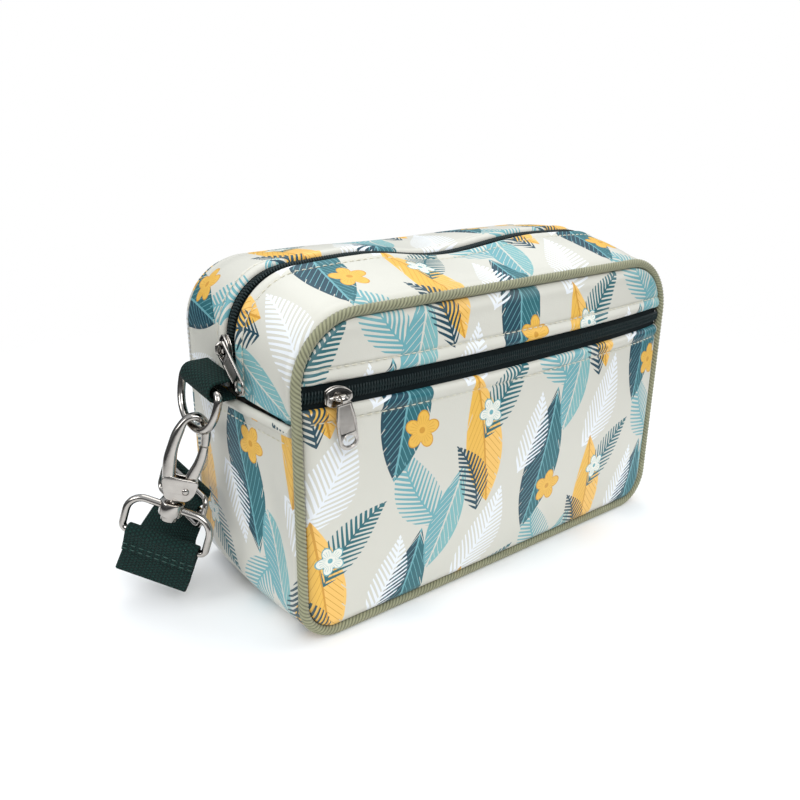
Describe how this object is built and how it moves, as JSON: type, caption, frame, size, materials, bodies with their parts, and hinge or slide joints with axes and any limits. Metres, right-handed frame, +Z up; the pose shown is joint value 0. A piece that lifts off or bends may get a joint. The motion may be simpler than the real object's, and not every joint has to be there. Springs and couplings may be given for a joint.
{
  "type": "handlebar bag",
  "caption": "Small boxy bag of printed vinyl with a zip over its top, a zipped front pocket, piped front edge, webbing end tabs with D-rings, and a snap hook with a strap end.",
  "frame": {"origin": "middle of the flat bottom, half way along the bag and half way through its depth", "axes": "+X along the bag to its right end, +Y from the front to the back, +Z up"},
  "size_m": [0.3341, 0.1267, 0.1757],
  "materials": {
    "vinyl": "printed cream vinyl with a fine grain and a soft sheen",
    "cord": "sage green braided piping",
    "tape": "woven dark green zip tape",
    "coil": "dark green nylon zip coil",
    "webbing": "ribbed dark green webbing",
    "nickel": "polished nickel plate"
  },
  "bodies": {
    "bag": {"zip_gusset_front": "vinyl", "zip_gusset_back": "vinyl", "lower_gusset": "vinyl", "left_hem": "vinyl", "right_hem": "vinyl", "front_upper_panel": "vinyl", "front_pocket_panel": "vinyl", "back_panel": "vinyl", "left_tab": "webbing", "right_tab": "webbing", "strap": "webbing", "pocket_zip_slider": "nickel", "main_zip_slider": "nickel", "left_d_ring": "nickel", "hook_body": "nickel", "hook_gate_pin": "nickel", "hook_strap_loop": "nickel", "strap_adjuster": "nickel", "front_piping": "cord", "main_zip_tape": "tape", "pocket_zip_tape": "tape", "main_zip_coil": "coil", "pocket_zip_coil": "coil"},
    "pocket_pull": {"pocket_zip_pull": "nickel"},
    "main_pull": {"main_zip_pull": "nickel"},
    "gate": {"hook_gate": "nickel"},
    "right_ring": {"right_d_ring": "nickel"}
  },
  "joints": [
    {"name": "pocket_pull_swing", "type": "hinge", "parent": "bag", "child": "pocket_pull", "pos_m": [-0.11188, -0.06502, 0.1254], "axis": [-0.9905, 0.1377, 0], "range_deg": [0, 140]},
    {"name": "main_pull_swing", "type": "hinge", "parent": "bag", "child": "main_pull", "pos_m": [-0.13653, 0, 0.13702], "axis": [0, 0.6428, -0.766], "range_deg": [0, 80]},
    {"name": "hook_gate_swing", "type": "hinge", "parent": "bag", "child": "gate", "pos_m": [-0.15417, 0.01301, 0.06463], "axis": [-0.4226, -0.9063, 0], "range_deg": [0, 14], "stiffness_Nm_per_rad": 0.03, "springref_deg": -5.73},
    {"name": "right_ring_swing", "type": "hinge", "parent": "bag", "child": "right_ring", "pos_m": [0.14368, 0.008, 0.11997], "axis": [0, -0.9945, -0.1045], "range_deg": [0, 95]}
  ]
}
